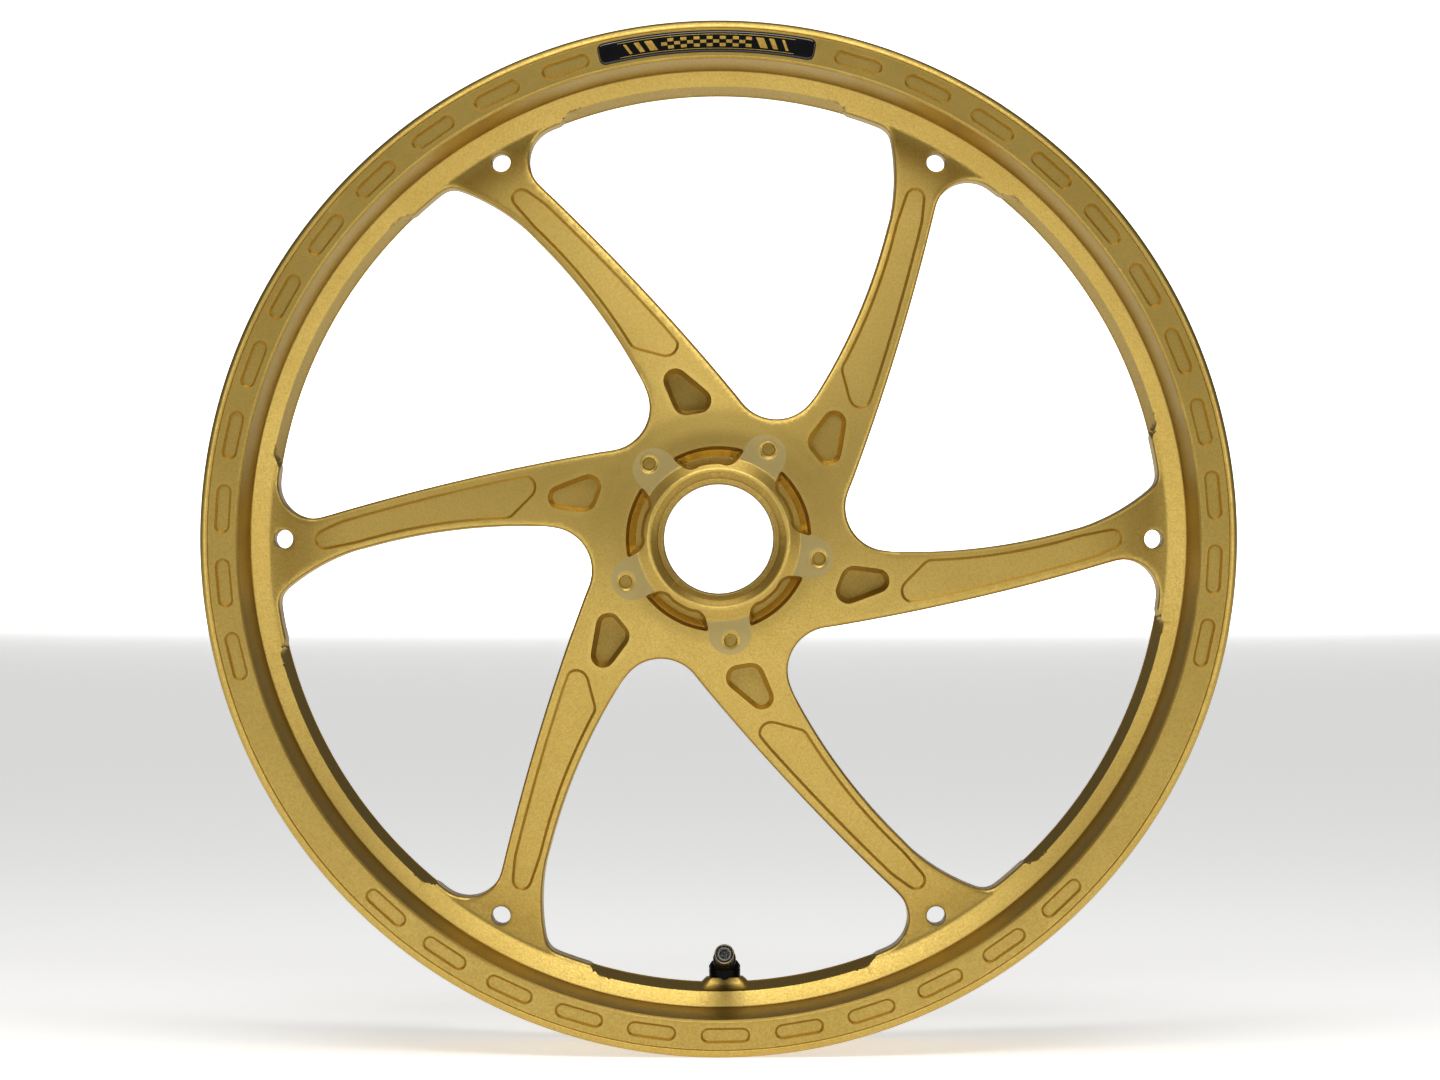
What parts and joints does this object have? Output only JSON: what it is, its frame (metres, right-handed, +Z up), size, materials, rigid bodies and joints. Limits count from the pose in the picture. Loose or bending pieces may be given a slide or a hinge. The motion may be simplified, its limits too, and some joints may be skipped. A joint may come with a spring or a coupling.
{
  "type": "forged racing wheel rim",
  "caption": "Forged spoked front wheel rim with swept spokes, lightening slots, disc lugs, angled tyre valve and screwed valve cap.",
  "frame": {"origin": "centre of the wheel, on the axle line at the middle of the rim's width", "axes": "axle along Y, badge side towards -Y, +Z up with the valve at the bottom, +X to the right seen from the badge side"},
  "size_m": [0.4646, 0.1023, 0.4646],
  "materials": {
    "gold_anodised_forging": "blasted and gold anodised, satin",
    "black_domed_badge": "clear resin dome over black",
    "black_anodised_valve": "black anodised, satin",
    "black_rubber": "matt",
    "zinc_steel": "zinc plated",
    "core_brass": "turned",
    "spring_steel": "drawn wire",
    "black_cap": "moulded, semi-gloss",
    "cap_disc": "satin"
  },
  "bodies": {
    "wheel": {"forged_wheel": "gold_anodised_forging", "rim_badge": "black_domed_badge", "valve_body": "black_anodised_valve", "valve_base_seal": "black_rubber", "valve_washer": "zinc_steel", "valve_nut": "zinc_steel", "core_housing": "core_brass", "core_gasket": "black_rubber", "core_spring": "spring_steel"},
    "core_pin": {"core_pin": "core_brass", "core_cup_seal": "black_rubber"},
    "cap_travel": {"cap_gasket": "black_rubber"},
    "valve_cap": {"valve_cap": "black_cap", "cap_inlay": "cap_disc"}
  },
  "joints": [
    {"name": "core_press", "type": "slide", "parent": "wheel", "child": "core_pin", "axis": [0.0019, 0.9903, -0.1392], "range_m": [0, 0.0015], "stiffness_N_per_m": 900, "springref_m": -0.002, "deforming": ["core_spring"]},
    {"name": "cap_unscrew", "type": "slide", "parent": "wheel", "child": "cap_travel", "axis": [-0.0019, -0.9903, 0.1392], "range_m": [0, 0.00437]},
    {"name": "cap_turn", "type": "hinge", "parent": "cap_travel", "child": "valve_cap", "pos_m": [0.00261, -0.03763, -0.18719], "axis": [-0.0019, -0.9903, 0.1392], "range_deg": [0, 1981]}
  ],
  "couplings": [
    {"joint": "cap_turn", "follows": "cap_unscrew", "rad_per_m": 7913.3}
  ]
}
